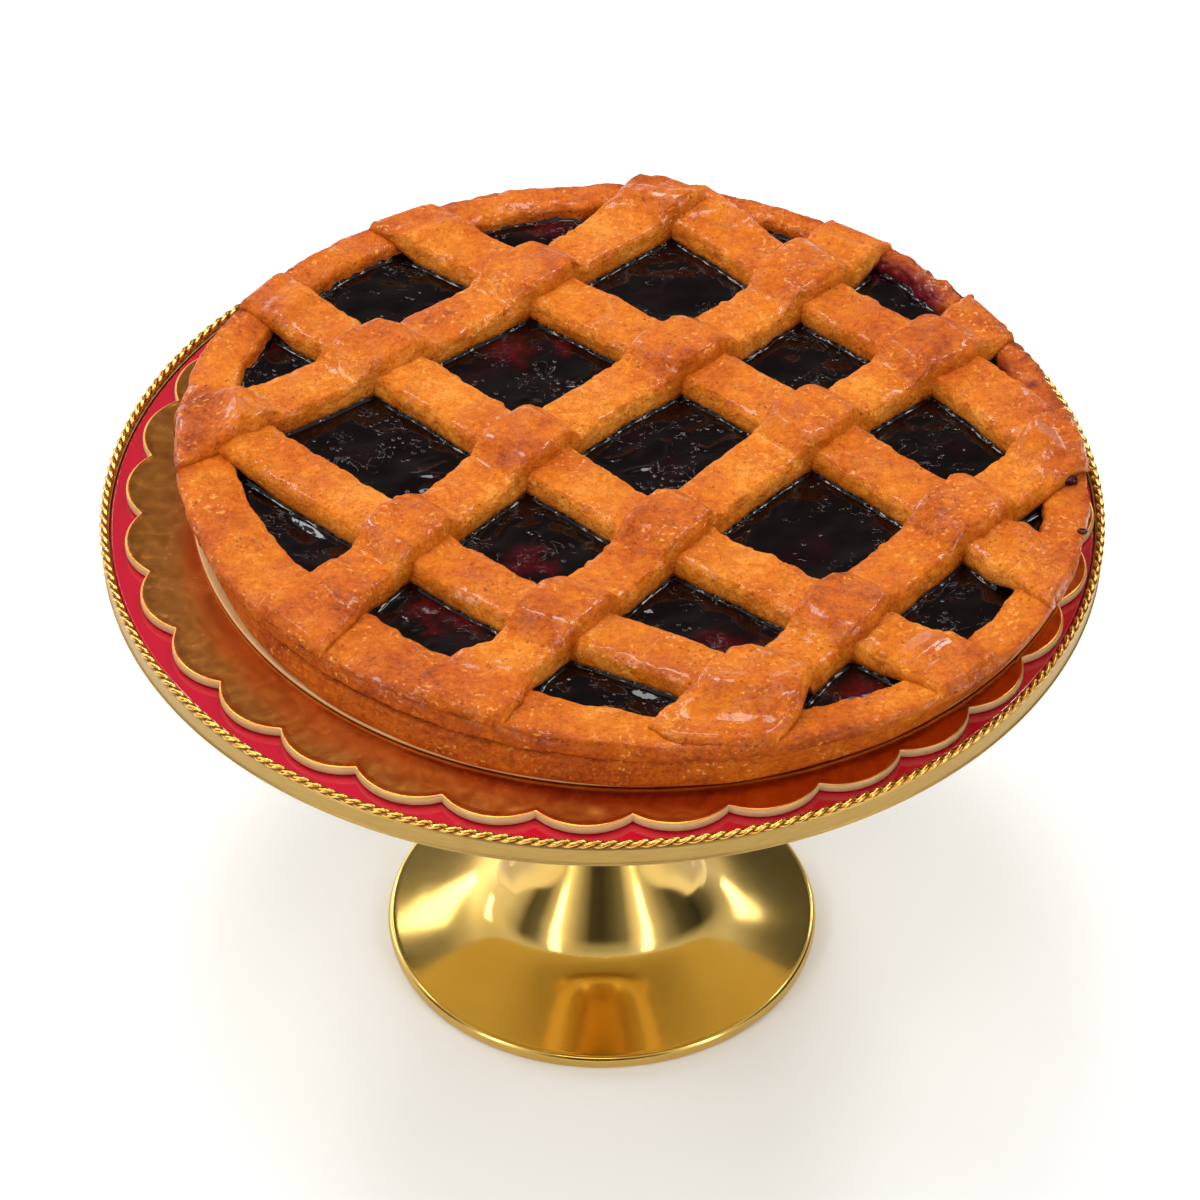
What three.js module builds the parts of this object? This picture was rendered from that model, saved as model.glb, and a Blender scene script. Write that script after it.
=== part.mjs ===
// Cherry crostata with a lattice top, on its gold cards and its footed cake stand.
// Millimetres, +Z up, origin at the centre of the foot's underside.
import * as THREE from 'three';
import { mergeVertices } from 'three/addons/utils/BufferGeometryUtils.js';

// ---- driving dimensions -------------------------------------------------------------
const GAP = 0.3; // clearance between pieces that lie on each other

// cake stand
const FOOT_RADIUS = 67.8;
const FOOT_EDGE = 4.4; // height of the rolled edge
const STEM_RADIUS = 12.5;
const STEM_TOP = 161;
const PLATE_RADIUS = 150;
const PLATE_TOP = 168.7; // top of the plate's metal edge
const BAND_HEIGHT = 6.5; // height of the plate's upright edge
const RECESS_DEPTH = 2.2; // depth of the bed that holds the enamel
const ENAMEL_RADIUS = 147.2;
const ROPE_RING_RADIUS = 149.1;
const ROPE_RADIUS = 1.15;

// cards under the pie
const BOARD_CENTRE = [2, 1.3];
const BOARD_RADIUS = 140; // to the notches between the scallops
const BOARD_SCALLOPS = 32;
const SCALLOP_DEPTH = 5.2;
const SCALLOP_TURN = -109.8; // direction of one notch, degrees
const BOARD_THICKNESS = 2.9;
const CARD_CENTRE = [12, 5.2];
const CARD_RADIUS = 134;
const CARD_THICKNESS = 1;

// pie
const PIE_CENTRE = [11, 5];
const CRUST_HEIGHT = 16.5; // base of the crust to the crest of its rim
const FLOOR_THICKNESS = 3.5;
const INNER_WALL_SLOPE = 1.5; // how far the inner wall leans in towards the floor
const RIM_LIP = 2.4; // how far the rim's inner edge lies below its crest
const FILLING_LEVEL = 12; // jam level above the base of the crust
const FILLING_DIP = 1.3; // how far the jam sinks between its lumps
const STRIP_THICKNESS = 5.8;
const UPPER_EXTRA = 0.6; // upper strips are a little thicker
const CROSSING_LOSS = 1.2; // and are pressed this much thinner over a crossing
const STRIP_ON_RIM = 2.2; // strips are pressed thinner where they lie on the rim
const RIM_CLEARANCE = 0.8; // more room under a strip where it bends over the rim

// Outlines of the pie about its centre: mean radius, then [waves round, size, peak in degrees].
const OUTER_OUTLINE = { mean: 133.8, waves: [[1, 4, -125], [2, 5.8, -75], [3, 1.6, -145]] };
const INNER_OUTLINE = { mean: 120.5, waves: [[1, 2.1, 40], [2, 6.8, -82], [3, 2.6, 159]] };
const BASE_OUTLINE = { mean: 132, waves: [[1, 2.8, -70]] };

// Lattice strips: width at the start, between and at the end, where the dough is pressed wider
// onto the rim, and the points that the middle line runs through.
const LOWER_STRIPS = {
  strip_lower_1: { width: [20, 19, 19], line: [[-116, 16], [-70, -26], [-24, -67], [37, -101]] },
  strip_lower_2: { width: [20, 19.5, 23], line: [[-106, 80], [-55, 35], [12, -30], [102, -98]] },
  strip_lower_3: { width: [21, 20, 22], line: [[-60, 115], [-6, 72], [54, 21], [130, -55]] },
  strip_lower_4: { width: [21, 19.5, 20], line: [[26, 124], [68, 77], [106, 41], [132, 9]] },
};
const UPPER_STRIPS = {
  strip_upper_1: { width: [21, 19, 22], line: [[-128, 4], [-75, 42], [-27, 81], [15, 122]] },
  strip_upper_2: {
    width: [28, 20, 23], line: [[-91, -81], [-49, -28], [-11, 16], [44, 67], [76, 103]],
  },
  strip_upper_3: { width: [31, 20, 23], line: [[-43, -114], [3, -56], [52, 3], [114, 61]] },
  strip_upper_4: { width: [33, 20.5, 25], line: [[34, -121], [60, -86], [100, -35], [138, 0]] },
};
const FLARE = [5, 34]; // distances from an end over which it narrows to the width between

// ---- levels that follow from them ---------------------------------------------------
const ENAMEL_TOP = PLATE_TOP - 0.1;
const BOARD_BOTTOM = ENAMEL_TOP + GAP;
const CARD_BOTTOM = BOARD_BOTTOM + BOARD_THICKNESS + GAP;
const PIE_BOTTOM = CARD_BOTTOM + CARD_THICKNESS + GAP;
const RIM_CREST = PIE_BOTTOM + CRUST_HEIGHT;
const JAM_TOP = PIE_BOTTOM + FILLING_LEVEL;

// ---- materials ----------------------------------------------------------------------
const finish = (color, roughness, metalness) =>
  new THREE.MeshStandardMaterial({ color, roughness, metalness });
const POLISHED_GOLD = finish(0xc9a04a, 0.15, 1);
const BAND_GOLD = finish(0x97793c, 0.45, 1);
const RED_ENAMEL = finish(0xb4062e, 0.15, 0);
const GOLD_FOIL = finish(0xc89a4c, 0.35, 0.9);
const BAKED_CRUST = finish(0xc8762a, 0.55, 0);
const CHERRY_JAM = finish(0x22060b, 0.12, 0);

// ---- small helpers ------------------------------------------------------------------
const radians = THREE.MathUtils.degToRad;
const lerp = THREE.MathUtils.lerp;
const ease = THREE.MathUtils.smoothstep;

// Radius of a wavy outline in the direction turn (radians).
function outlineRadius(outline, turn) {
  return outline.waves.reduce(
    (radius, [count, size, peak]) => radius + size * Math.cos(count * turn - radians(peak)),
    outline.mean,
  );
}
const outerRadius = (turn) => outlineRadius(OUTER_OUTLINE, turn);
const innerRadius = (turn) => outlineRadius(INNER_OUTLINE, turn);
const baseRadius = (turn) => outlineRadius(BASE_OUTLINE, turn);

// Height on a chain of [distance, height] points, with straight stretches between them.
function heightOnChain(chain, distance) {
  const last = chain.length - 1;
  if (distance <= chain[0][0]) return chain[0][1];
  if (distance >= chain[last][0]) return chain[last][1];
  const next = chain.findIndex(([at]) => at >= distance);
  const [fromAt, fromHeight] = chain[next - 1];
  const [toAt, toHeight] = chain[next];
  return lerp(fromHeight, toHeight, (distance - fromAt) / (toAt - fromAt));
}

// A closed solid turned about the upright axis, with its seam and poles closed.
function turned(profile, segments) {
  const points = profile.map(([radius, height]) => new THREE.Vector2(radius, height));
  const geometry = new THREE.LatheGeometry(points, segments);
  geometry.rotateX(Math.PI / 2); // the lathe turns about Y
  return welded(geometry);
}

// Only shared positions are kept, and triangles that close up at a pole are dropped.
function welded(geometry) {
  geometry.deleteAttribute('normal');
  geometry.deleteAttribute('uv');
  const merged = mergeVertices(geometry, 1e-4);
  const index = merged.index.array;
  const kept = [];
  for (let i = 0; i < index.length; i += 3) {
    const [a, b, c] = [index[i], index[i + 1], index[i + 2]];
    if (a !== b && b !== c && c !== a) kept.push(a, b, c);
  }
  merged.setIndex(kept);
  return merged;
}

// Moves every vertex of a geometry to move(x, y, z).
function reshaped(geometry, move) {
  const position = geometry.getAttribute('position');
  for (let i = 0; i < position.count; i += 1) {
    position.setXYZ(i, ...move(position.getX(i), position.getY(i), position.getZ(i)));
  }
  return geometry;
}

const crostata = new THREE.Group();

function place(name, geometry, material) {
  geometry.computeVertexNormals();
  const mesh = new THREE.Mesh(geometry, material);
  mesh.name = name;
  crostata.add(mesh);
}

// ---- cake stand ---------------------------------------------------------------------
// Flat foot, rolled edge, low cone that flares up into a slim stem, and a collar under the plate.
function standFoot() {
  const edge = FOOT_RADIUS;
  const profile = [
    [0, 0], [edge - 1.2, 0], [edge, 1], [edge, FOOT_EDGE - 1.2], [edge - 1, FOOT_EDGE],
    [edge - 2.2, FOOT_EDGE + 0.1], [50, 7.7], [38, 11.4], [33, 14.8], [28.5, 19.8], [24, 27],
    [19.5, 36.5], [15.6, 52], [STEM_RADIUS, 95],
    [STEM_RADIUS + 1, 125], [STEM_RADIUS + 4.5, 145], [STEM_RADIUS + 14, 157],
    [STEM_RADIUS + 25, STEM_TOP], [0, STEM_TOP],
  ];
  return turned(profile, 48);
}

// Round plate with an upright edge and a shallow bed for the enamel.
function standPlate() {
  const bottom = PLATE_TOP - BAND_HEIGHT;
  const under = STEM_TOP + GAP;
  return turned([
    [0, under], [128, under], [PLATE_RADIUS - 2.6, bottom], [PLATE_RADIUS - 0.4, bottom],
    [PLATE_RADIUS, bottom + 0.5], [PLATE_RADIUS, PLATE_TOP - 0.3], [PLATE_RADIUS - 0.3, PLATE_TOP],
    [ENAMEL_RADIUS + GAP, PLATE_TOP], [ENAMEL_RADIUS + GAP, PLATE_TOP - RECESS_DEPTH],
    [0, PLATE_TOP - RECESS_DEPTH],
  ], 72);
}

function enamelDisc() {
  const bottom = PLATE_TOP - RECESS_DEPTH + GAP;
  return turned([[0, bottom], [ENAMEL_RADIUS, bottom], [ENAMEL_RADIUS, ENAMEL_TOP], [0, ENAMEL_TOP]], 72);
}

// Ring of round section that lies on the plate's edge.
function ropeRing() {
  const sides = 6;
  const middle = PLATE_TOP + GAP + ROPE_RADIUS;
  const profile = [];
  for (let i = 0; i <= sides; i += 1) {
    const turn = (2 * Math.PI * (i + 0.5)) / sides;
    profile.push([
      ROPE_RING_RADIUS + ROPE_RADIUS * Math.cos(turn),
      middle + ROPE_RADIUS * Math.sin(turn),
    ]);
  }
  return turned(profile, 72);
}

// ---- cards --------------------------------------------------------------------------
// Scalloped board: every scallop is an arc through two notches and the crown between them.
function scallopedBoard() {
  const step = (2 * Math.PI) / BOARD_SCALLOPS;
  const halfChord = BOARD_RADIUS * Math.sin(step / 2);
  const rise = BOARD_RADIUS + SCALLOP_DEPTH - BOARD_RADIUS * Math.cos(step / 2);
  const arcRadius = (halfChord ** 2 + rise ** 2) / (2 * rise);
  const arcCentre = BOARD_RADIUS + SCALLOP_DEPTH - arcRadius;
  const shape = new THREE.Shape();
  for (let i = 0; i < BOARD_SCALLOPS; i += 1) {
    const notch = radians(SCALLOP_TURN) + i * step;
    const crown = notch + step / 2;
    const spread = Math.atan2(halfChord, BOARD_RADIUS * Math.cos(step / 2) - arcCentre);
    const x = BOARD_CENTRE[0] + arcCentre * Math.cos(crown);
    const y = BOARD_CENTRE[1] + arcCentre * Math.sin(crown);
    shape.absarc(x, y, arcRadius, crown - spread, crown + spread, false);
  }
  const geometry = new THREE.ExtrudeGeometry(shape, {
    depth: BOARD_THICKNESS, bevelEnabled: false, curveSegments: 3,
  });
  geometry.translate(0, 0, BOARD_BOTTOM);
  return welded(geometry);
}

function roundCard() {
  const geometry = turned([
    [0, CARD_BOTTOM], [CARD_RADIUS, CARD_BOTTOM],
    [CARD_RADIUS, CARD_BOTTOM + CARD_THICKNESS], [0, CARD_BOTTOM + CARD_THICKNESS],
  ], 72);
  return geometry.translate(...CARD_CENTRE, 0);
}

// ---- crust and filling --------------------------------------------------------------
// Section of the rim's top, as [share of the way from its inner to its outer edge, depth below the crest].
const RIM_SECTION = [[0, RIM_LIP], [0.14, 1.3], [0.45, 0.4], [0.75, 0], [0.95, 0.4], [1, 1.8]];
const CREST_POINTS = 4; // of them, up to the crest

// Outer wall from the base up, as [share of the way from the base's outline to the rim's, inset,
// height]: the lower crust bulges out under a groove, and the rim's edge is sharp above it.
const WALL = [
  [0, 1.3, 0], [0, 0.2, 1.3], [0.05, 0, 4], [0.2, 0.6, 7],
  [0.4, 1.8, CRUST_HEIGHT - 7.4], [0.6, 1.2, CRUST_HEIGHT - 6], [0.9, 0.3, CRUST_HEIGHT - 4],
];

// The rim's top in one direction, as [distance from the pie's centre, height].
function rimChain(turn) {
  const inner = innerRadius(turn);
  const outer = outerRadius(turn);
  return RIM_SECTION.map(([share, depth]) => [lerp(inner, outer, share), RIM_CREST - depth]);
}

// A round solid whose section differs in each direction. section(turn) gives its points as
// [distance, height] from the axis at the base, round the outside, to the axis at the top.
function unevenRound(section, segments) {
  const rows = section(0).length;
  const profile = Array.from({ length: rows }, (_, row) => [row % (rows - 1) ? 1 : 0, row]);
  return reshaped(turned(profile, segments), (x, y, row) => {
    const turn = Math.atan2(y, x);
    const [distance, height] = section(turn)[Math.round(row)];
    const alongX = PIE_CENTRE[0] + distance * Math.cos(turn);
    const alongY = PIE_CENTRE[1] + distance * Math.sin(turn);
    return [alongX, alongY, height];
  });
}

// The crust is a tray with a floor, an upright inner wall and a rounded rim.
function crustShell() {
  const floor = PIE_BOTTOM + FLOOR_THICKNESS;
  return unevenRound((turn) => [
    [0, PIE_BOTTOM],
    ...WALL.map(([share, inset, height]) => [
      lerp(baseRadius(turn), outerRadius(turn), share) - inset, PIE_BOTTOM + height,
    ]),
    ...rimChain(turn).reverse(),
    [innerRadius(turn) - INNER_WALL_SLOPE, floor],
    [0, floor],
  ], 88);
}

// Jam with low lumps: the surface dips between them and never rises above its level.
function cherryFilling() {
  const clearance = 2 * GAP;
  const rings = 10;
  const bottom = PIE_BOTTOM + FLOOR_THICKNESS + GAP;
  const lumpSize = 5.5; // of the jam's waves
  const surface = (turn, distance) => {
    const [x, y] = [distance * Math.cos(turn) / lumpSize, distance * Math.sin(turn) / lumpSize];
    const wave = Math.sin(x + 0.2 * y) + Math.sin(0.85 * y - 0.3 * x + 1);
    return JAM_TOP - FILLING_DIP * (0.5 + 0.25 * wave);
  };
  return unevenRound((turn) => {
    const wall = innerRadius(turn) - clearance;
    const points = [[0, bottom], [wall - INNER_WALL_SLOPE, bottom]];
    for (let ring = rings; ring >= 0; ring -= 1) {
      const distance = (wall * ring) / rings;
      points.push([distance, surface(turn, distance)]);
    }
    return points;
  }, 64);
}

// ---- lattice ------------------------------------------------------------------------
// Distance from the pie's centre, direction, and radius of the filling in that direction.
function fromPieCentre(x, y) {
  const [dx, dy] = [x - PIE_CENTRE[0], y - PIE_CENTRE[1]];
  const turn = Math.atan2(dy, dx);
  return { distance: Math.hypot(dx, dy), turn, inner: innerRadius(turn) };
}

// Height of what the strips lie on: the jam, a slope up to the rim, and the rim up to its crest.
function bedHeight(x, y) {
  const { distance, turn, inner } = fromPieCentre(x, y);
  const slope = [inner - 9, inner - 2.5];
  return distance < inner
    ? lerp(JAM_TOP, RIM_CREST - RIM_LIP, ease(distance, ...slope))
    : heightOnChain(rimChain(turn).slice(0, CREST_POINTS), distance);
}

// 0 on the jam, 1 on the rim.
function onRim(x, y) {
  const { distance, inner } = fromPieCentre(x, y);
  return ease(distance, inner - 3, inner + 7);
}

function middleLine({ line }) {
  return new THREE.CatmullRomCurve3(line.map(([x, y]) => new THREE.Vector3(x, y, 0)));
}

// Width of a strip at a share of its length, wider towards its ends.
function stripWidth([start, between, end], share, length) {
  const towardsStart = 1 - ease(share * length, ...FLARE);
  const towardsEnd = 1 - ease((1 - share) * length, ...FLARE);
  return between + (start - between) * towardsStart + (end - between) * towardsEnd;
}

const LOWER_LINES = Object.values(LOWER_STRIPS).map((strip) => ({
  halfWidth: strip.width[1] / 2,
  points: middleLine(strip).getSpacedPoints(60),
}));

// 1 over a lower strip, 0 clear of it, eased past its edges.
function overLower(x, y) {
  const margin = 1.6;
  const easing = 5.5;
  return LOWER_LINES.reduce((most, { halfWidth, points }) => {
    const distance = Math.min(...points.map((p) => Math.hypot(p.x - x, p.y - y)));
    const reach = halfWidth + margin;
    return Math.max(most, 1 - ease(distance, reach, reach + easing));
  }, 0);
}

// Each layer of strips has an underside and a thickness at every point.
const lowerBed = (x, y) => bedHeight(x, y) + 2 * GAP + RIM_CLEARANCE * onRim(x, y);
const lowerThickness = (x, y) => lerp(STRIP_THICKNESS, STRIP_ON_RIM, onRim(x, y));
const upperBed = (x, y) => lowerBed(x, y) + overLower(x, y) * (lowerThickness(x, y) + 4 * GAP);
const upperThickness = (x, y) => (
  lerp(STRIP_THICKNESS + UPPER_EXTRA, STRIP_ON_RIM, onRim(x, y)) - CROSSING_LOSS * overLower(x, y)
);

// A strip is a box bent along its middle line, with rounded shoulders.
function latticeStrip(strip, bed, thickness) {
  const curve = middleLine(strip);
  const length = curve.getLength();
  const steps = Math.round(length / 5.5);
  const flatShare = 0.72; // of the width, between the shoulders
  const sideShare = 0.68; // of the thickness, up to the shoulders
  const geometry = welded(new THREE.BoxGeometry(1, 1, 1, steps, 3, 1));
  return reshaped(geometry, (along, across, up) => {
    const share = along + 0.5;
    const middle = curve.getPointAt(share);
    const tangent = curve.getTangentAt(share);
    const width = stripWidth(strip.width, share, length);
    const edge = Math.abs(across) > 0.4;
    const side = (Math.sign(across) * width * (edge ? 1 : flatShare)) / 2;
    const x = middle.x - tangent.y * side;
    const y = middle.y + tangent.x * side;
    const height = up > 0 ? thickness(x, y) * (edge ? sideShare : 1) : 0;
    return [x, y, bed(x, y) + height];
  });
}

// ---- assembly -----------------------------------------------------------------------
place('stand_foot', standFoot(), POLISHED_GOLD);
place('stand_plate', standPlate(), BAND_GOLD);
place('rope_ring', ropeRing(), POLISHED_GOLD);
place('enamel_disc', enamelDisc(), RED_ENAMEL);
place('scalloped_board', scallopedBoard(), GOLD_FOIL);
place('round_card', roundCard(), GOLD_FOIL);
place('crust_shell', crustShell(), BAKED_CRUST);
place('cherry_filling', cherryFilling(), CHERRY_JAM);
for (const [name, strip] of Object.entries(LOWER_STRIPS)) {
  place(name, latticeStrip(strip, lowerBed, lowerThickness), BAKED_CRUST);
}
for (const [name, strip] of Object.entries(UPPER_STRIPS)) {
  place(name, latticeStrip(strip, upperBed, upperThickness), BAKED_CRUST);
}

export default crostata;
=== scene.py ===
"""Cherry crostata with a lattice top, on its gold cards and its footed cake stand.

Shapes are worked out in millimetres, as grids of points, and become meshes in metres."""
import math

import bpy
import numpy as np
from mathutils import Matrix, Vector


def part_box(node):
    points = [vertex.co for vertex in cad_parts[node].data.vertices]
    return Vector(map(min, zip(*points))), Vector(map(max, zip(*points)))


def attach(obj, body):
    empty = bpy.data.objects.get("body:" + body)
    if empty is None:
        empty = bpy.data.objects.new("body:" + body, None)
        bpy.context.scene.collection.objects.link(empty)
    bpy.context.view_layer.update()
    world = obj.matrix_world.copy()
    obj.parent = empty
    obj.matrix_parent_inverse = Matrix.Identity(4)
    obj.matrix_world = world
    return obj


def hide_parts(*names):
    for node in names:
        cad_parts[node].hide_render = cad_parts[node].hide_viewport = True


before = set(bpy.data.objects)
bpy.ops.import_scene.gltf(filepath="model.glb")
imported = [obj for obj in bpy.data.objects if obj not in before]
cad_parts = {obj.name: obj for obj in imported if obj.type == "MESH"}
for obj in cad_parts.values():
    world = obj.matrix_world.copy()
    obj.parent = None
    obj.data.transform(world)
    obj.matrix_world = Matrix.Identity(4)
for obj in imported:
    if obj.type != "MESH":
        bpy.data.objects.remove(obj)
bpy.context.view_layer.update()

MM = 0.001

# ---- camera, as the photograph was taken ----
CAMERA_AT = (-0.62, -1385.2, 1316.0)
CAMERA_AIM = (-0.62, 0, 133.0)
CAMERA_LENS = 180
SENSOR = 36

# ---- sizes, in millimetres ----
PIE_CENTRE = (11, 5)
# Outlines of the pie about its centre: mean radius, then (waves round, size, peak in degrees).
OUTER_OUTLINE = (133.8, ((1, 4, -125), (2, 5.8, -75), (3, 1.6, -145)))
INNER_OUTLINE = (120.5, ((1, 2.1, 40), (2, 6.8, -82), (3, 2.6, 159)))
BASE_OUTLINE = (132, ((1, 2.8, -70),))
CRUST_HEIGHT = 16.5
FILLING_LEVEL = 12
FLOOR_THICKNESS = 3.5
STRIP_THICKNESS = 6.5
STRIP_ON_RIM = 2.5
CROSSING_RISE = 5.2

# Lattice strips: width at the start, between and at the end, and the points of the middle line.
LOWER_STRIPS = {
    "strip_lower_1": ((20, 19, 19), ((-116, 16), (-70, -26), (-24, -67), (37, -101))),
    "strip_lower_2": ((20, 19.5, 23), ((-106, 80), (-55, 35), (12, -30), (102, -98))),
    "strip_lower_3": ((21, 20, 22), ((-60, 115), (-6, 72), (54, 21), (130, -55))),
    "strip_lower_4": ((21, 19.5, 20), ((26, 124), (68, 77), (106, 41), (132, 9))),
}
UPPER_STRIPS = {
    "strip_upper_1": ((21, 19, 22), ((-128, 4), (-75, 42), (-27, 81), (15, 122))),
    "strip_upper_2": ((28, 20, 23), ((-91, -81), (-49, -28), (-11, 16), (44, 67), (76, 103))),
    "strip_upper_3": ((31, 20, 23), ((-43, -114), (3, -56), (52, 3), (114, 61))),
    "strip_upper_4": ((33, 20.5, 22.5), ((34, -121), (60, -86), (100, -35), (137.5, 2))),
}
STRIPS = LOWER_STRIPS | UPPER_STRIPS
FLARE = (5, 34)
# Steps by which a strip's middle line runs on past both ends.
PAST_ENDS = 30
# How square a strip's sides are, how flat its top is, and how much crisper it is on the rim: powers.
SQUARE_SIDES, FLAT_TOP, CRISP_ON_RIM = 0.27, 0.58, 0.5
# Directions in which the rim is torn and flaky, and in which the wall's two layers part most.
FLAKY_TOWARDS = math.radians(38)
PARTED_TOWARDS = math.radians(-150)

BOARD_CENTRE = (2, 1.3)
BOARD_RADIUS = 140
BOARD_SCALLOPS = 32
SCALLOP_DEPTH = 5.2
SCALLOP_TURN = -109.8
CARD_CENTRE = (10.9, 6.5)


def levels(node):
    """Lowest and highest level of a solid of the frame, in millimetres."""
    low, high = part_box(node)
    return low.z / MM, high.z / MM


def reach(node):
    """Half the width of a solid of the frame, in millimetres."""
    low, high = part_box(node)
    return (high.x - low.x) / MM / 2


PIE_BOTTOM = levels("crust_shell")[0]
RIM_CREST = PIE_BOTTOM + CRUST_HEIGHT
JAM_TOP = PIE_BOTTOM + FILLING_LEVEL
PLATE_RADIUS = reach("stand_plate")
FOOT_RADIUS = reach("stand_foot")
ENAMEL_RADIUS = reach("enamel_disc")


# ---- number tools ----
def ease(low, high, x):
    """0 up to low, 1 from high, and a smooth 3t^2 - 2t^3 between them."""
    t = np.clip((x - low) / (high - low), 0, 1)
    return t * t * (3 - 2 * t)


def mix(a, b, share):
    return a + (b - a) * share


def scatter(x, y, z, seed):
    """A fixed number from 0 to 1 for each whole-numbered point: its coordinates are multiplied by large
    odd numbers, added, and their bits folded over twice."""
    n = (x * 374761393 + y * 668265263 + z * 1440662683 + seed * 2246822519) & 0xFFFFFFFF
    n = ((n ^ (n >> 13)) * 1274126177) & 0xFFFFFFFF
    n = ((n ^ (n >> 15)) * 2146121773) & 0xFFFFFFFF
    return ((n ^ (n >> 16)) & 0xFFFFFF) / 0xFFFFFF


def noise(points, size, seed=0):
    """Gradient noise from about -1 to 1. Each corner of the cell that a point lies in has a fixed random
    slope; the slopes' heights at the point are blended by weights eased with 6t^5 - 15t^4 + 10t^3."""
    p = points / size
    cell = np.floor(p).astype(np.int64)
    f = p - cell
    w = f * f * f * (f * (f * 6 - 15) + 10)
    total = np.zeros(p.shape[:-1])
    for corner in range(8):
        step = np.array([corner & 1, corner >> 1 & 1, corner >> 2 & 1])
        weight = np.prod(np.where(step, w, 1 - w), axis=-1)
        at = cell + step
        away = f - step
        slope = sum(
            (scatter(at[..., 0], at[..., 1], at[..., 2], seed * 3 + axis) * 2 - 1) * away[..., axis]
            for axis in range(3)
        )
        total += weight * slope
    return total * 1.6


def layered(points, size, seed=0, layers=3, keep=0.5):
    """Noise at size, plus finer layers, each half as large and keep times as high."""
    return sum(noise(points, size / 2**i, seed + 11 * i) * keep**i for i in range(layers))


def ridged(points, size, seed=0):
    """Sharp crests where noise passes through nought: 1 - |noise|, squared."""
    return (1 - np.abs(noise(points, size, seed))) ** 2


def points_at(x, y, z=0.0):
    return np.stack(np.broadcast_arrays(x, y, z), axis=-1).astype(float)


def rounded_chain(points, per_span):
    """Points along a smooth curve through a chain of points (first axis): on each span, the cubic whose
    slopes at its ends are half the step between the neighbours on either side."""
    padded = np.concatenate([2 * points[:1] - points[1:2], points, 2 * points[-1:] - points[-2:-1]])
    a, b, c, d = padded[:-3], padded[1:-2], padded[2:-1], padded[3:]
    t = (np.arange(per_span) / per_span).reshape((-1,) + (1,) * points.ndim)
    spans = 0.5 * (
        2 * b + (c - a) * t + (2 * a - 5 * b + 4 * c - d) * t**2 + (3 * b - a - 3 * c + d) * t**3
    )
    joined = np.swapaxes(spans, 0, 1).reshape((-1,) + points.shape[1:])
    return np.concatenate([joined, points[-1:]])


def on_line(s, along, line):
    """Places at distances s along a line whose points lie at the distances along."""
    return np.stack([np.interp(s, along, column) for column in line.T], -1)


def unit(vectors):
    return vectors / np.linalg.norm(vectors, axis=-1, keepdims=True)


def even_steps(points, step):
    """Points on a line, resampled to even steps of its length, with their distances from the start."""
    lengths = np.concatenate([[0], np.cumsum(np.linalg.norm(np.diff(points, axis=0), axis=1))])
    count = int(round(lengths[-1] / step)) + 1
    along = np.linspace(0, lengths[-1], count)
    return on_line(along, lengths, points), along


# ---- meshes ----
def grid_quads(rows, columns, wrap_rows=False, wrap_columns=True):
    """Corner numbers of the quads between neighbouring rows and columns of a grid of points."""
    r = np.arange(rows if wrap_rows else rows - 1)[:, None]
    c = np.arange(columns if wrap_columns else columns - 1)[None, :]
    r2, c2 = (r + 1) % rows, (c + 1) % columns
    quads = np.stack([a * columns + b for a, b in ((r, c), (r, c2), (r2, c2), (r2, c))], axis=-1)
    return quads.reshape(-1, 4)


def capped(grid):
    """A grid whose columns run round, as a closed skin: its two end rows are closed by fans to their
    middles. Returns points, quads and triangles."""
    rows, columns = grid.shape[:2]
    points = np.concatenate([grid.reshape(-1, 3), grid[0].mean(0)[None], grid[-1].mean(0)[None]])
    ring = np.arange(columns)
    after = (ring + 1) % columns
    first = np.stack([np.full(columns, rows * columns), after, ring], 1)
    base = (rows - 1) * columns
    last = np.stack([np.full(columns, rows * columns + 1), base + ring, base + after], 1)
    return points, grid_quads(rows, columns), np.concatenate([first, last])


def enclosed_volume(points, quads, triangles):
    """Signed volume: a sixth of the sum of each face's corner product a . (b x c)."""
    faces = np.concatenate([quads[:, :3], quads[:, [0, 2, 3]], triangles.reshape(-1, 3)])
    a, b, c = (points[faces[:, i]] for i in range(3))
    return np.einsum("ij,ij->", a, np.cross(b, c)) / 6


def add_piece(name, skin, material, replaces=(), marks=None):
    """Makes a mesh object of a closed skin in millimetres, faces out, that rides on the frame. marks are
    numbers at each point that the material reads."""
    points, quads, triangles = skin
    if enclosed_volume(points - points.mean(0), quads, triangles) < 0:
        quads, triangles = quads[:, ::-1], triangles[:, ::-1]
    mesh = bpy.data.meshes.new(name)
    corners = np.concatenate([quads.ravel(), triangles.ravel()]).astype(np.int32)
    sizes = np.concatenate([np.full(len(quads), 4), np.full(len(triangles), 3)])
    starts = np.concatenate([[0], np.cumsum(sizes)[:-1]]).astype(np.int32)
    mesh.vertices.add(len(points))
    mesh.vertices.foreach_set("co", (points * MM).astype(np.float32).ravel())
    mesh.loops.add(len(corners))
    mesh.loops.foreach_set("vertex_index", corners)
    mesh.polygons.add(len(starts))
    mesh.polygons.foreach_set("loop_start", starts)
    mesh.polygons.foreach_set("use_smooth", np.ones(len(starts), bool))
    for mark, values in (marks or {}).items():
        attribute = mesh.attributes.new(mark, "FLOAT", "POINT")
        attribute.data.foreach_set("value", np.asarray(values, np.float32).ravel())
    mesh.update(calc_edges=True)
    mesh.validate()
    mesh.materials.append(material)
    piece = bpy.data.objects.new(name, mesh)
    bpy.context.scene.collection.objects.link(piece)
    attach(piece, "root")
    if replaces:
        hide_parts(*replaces)


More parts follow.
